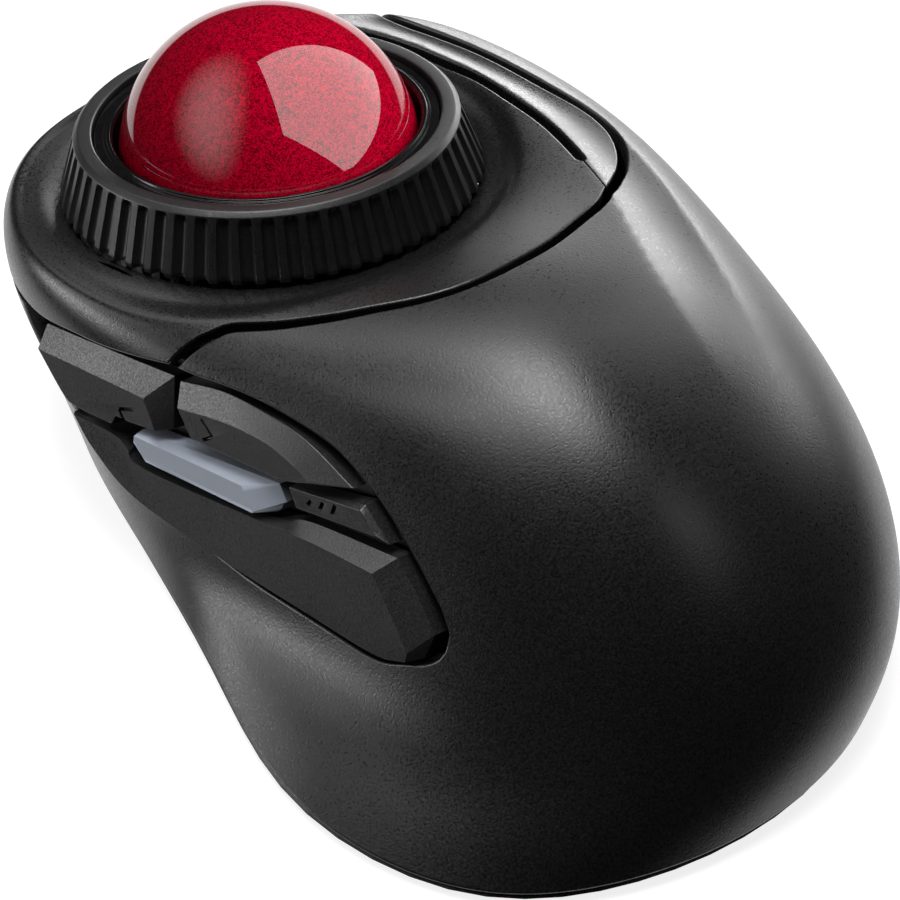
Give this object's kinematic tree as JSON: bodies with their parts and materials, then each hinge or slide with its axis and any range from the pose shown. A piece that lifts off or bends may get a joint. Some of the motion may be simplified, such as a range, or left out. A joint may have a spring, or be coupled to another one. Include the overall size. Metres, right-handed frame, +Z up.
{
  "type": "trackball mouse",
  "caption": "Right-handed finger-operated trackball mouse with a large ball, a ribbed scroll ring round it, a palm rest and a cluster of thumb keys.",
  "frame": {"origin": "bottom centre of the whole mouse, on the surface that it stands on", "axes": "+X to the user's right, +Y forward to the ball end, +Z up"},
  "size_m": [0.0954, 0.1407, 0.057],
  "materials": {
    "shell_black": "fine moulded grain",
    "deck_black": "smooth satin",
    "key_black": "satin",
    "key_grey": "satin",
    "cup_black": "polished",
    "ball_red": "polished, with fine sparkle",
    "case_black": "fine texture",
    "foot_rubber": "matte",
    "steel": "bright",
    "ceramic": "polished ceramic",
    "board_green": "solder mask",
    "chip_black": "moulded",
    "battery_wrap": "printed film"
  },
  "bodies": {
    "case": {"bottom_case": "case_black", "palm_shell": "shell_black", "ring_deck": "deck_black", "front_skirt": "shell_black", "ball_cup": "cup_black", "bearing_1": "ceramic", "bearing_2": "ceramic", "bearing_3": "ceramic", "thumb_bezel": "key_black", "switch_forward": "chip_black", "switch_back": "chip_black", "switch_middle": "chip_black", "switch_dpi": "chip_black", "switch_left": "chip_black", "switch_right": "chip_black", "thumb_board": "board_green", "battery_tray": "case_black", "battery": "battery_wrap", "battery_contact": "steel", "battery_spring": "steel", "usb_receiver": "case_black", "foot_1": "foot_rubber", "foot_2": "foot_rubber", "foot_3": "foot_rubber", "foot_4": "foot_rubber", "screw_1": "steel", "screw_2": "steel", "screw_3": "steel", "main_board": "board_green", "ball_sensor": "chip_black", "scroll_sensor": "chip_black"},
    "ball": {"trackball": "ball_red"},
    "ring": {"scroll_ring": "deck_black", "magnet_ring": "chip_black"},
    "right_key": {"right_button": "deck_black"},
    "left_key": {"left_button": "key_black"},
    "forward_key": {"forward_button": "key_black"},
    "back_key": {"back_button": "key_black"},
    "middle_key": {"middle_button": "key_grey"},
    "dpi_key": {"dpi_button": "key_black"},
    "switch": {"power_switch": "key_black"},
    "door": {"battery_door": "case_black"}
  },
  "joints": [
    {"name": "ball_roll", "type": "hinge", "parent": "case", "child": "ball", "pos_m": [-0.00342, 0.03576, 0.037], "axis": [1, 0, 0], "continuous": true},
    {"name": "ring_turn", "type": "hinge", "parent": "case", "child": "ring", "pos_m": [-0.00342, 0.03576, 0.037], "axis": [0.053, 0.174, 0.9833], "continuous": true},
    {"name": "right_click", "type": "hinge", "parent": "case", "child": "right_key", "pos_m": [0.02858, 0.00326, 0.038], "axis": [-0.995, 0.1, 0], "range_deg": [0, 0.7], "stiffness_Nm_per_rad": 1.5, "springref_deg": -0.46},
    {"name": "left_click", "type": "slide", "parent": "case", "child": "left_key", "axis": [0.9491, 0.142, -0.281], "range_m": [0, 0.0008], "stiffness_N_per_m": 300, "springref_m": -0.0006},
    {"name": "forward_press", "type": "slide", "parent": "case", "child": "forward_key", "axis": [0.9491, 0.142, -0.281], "range_m": [0, 0.0008], "stiffness_N_per_m": 300, "springref_m": -0.0006},
    {"name": "back_press", "type": "slide", "parent": "case", "child": "back_key", "axis": [0.9491, 0.142, -0.281], "range_m": [0, 0.0008], "stiffness_N_per_m": 300, "springref_m": -0.0006},
    {"name": "middle_press", "type": "slide", "parent": "case", "child": "middle_key", "axis": [0.9491, 0.142, -0.281], "range_m": [0, 0.0008], "stiffness_N_per_m": 300, "springref_m": -0.0006},
    {"name": "dpi_press", "type": "slide", "parent": "case", "child": "dpi_key", "axis": [0.9491, 0.142, -0.281], "range_m": [0, 0.0008], "stiffness_N_per_m": 300, "springref_m": -0.0006},
    {"name": "power_slide", "type": "slide", "parent": "case", "child": "switch", "axis": [1, 0, 0], "range_m": [0, 0.003]},
    {"name": "door_slide", "type": "slide", "parent": "case", "child": "door", "axis": [0, -1, 0], "range_m": [0, 0.003]}
  ]
}
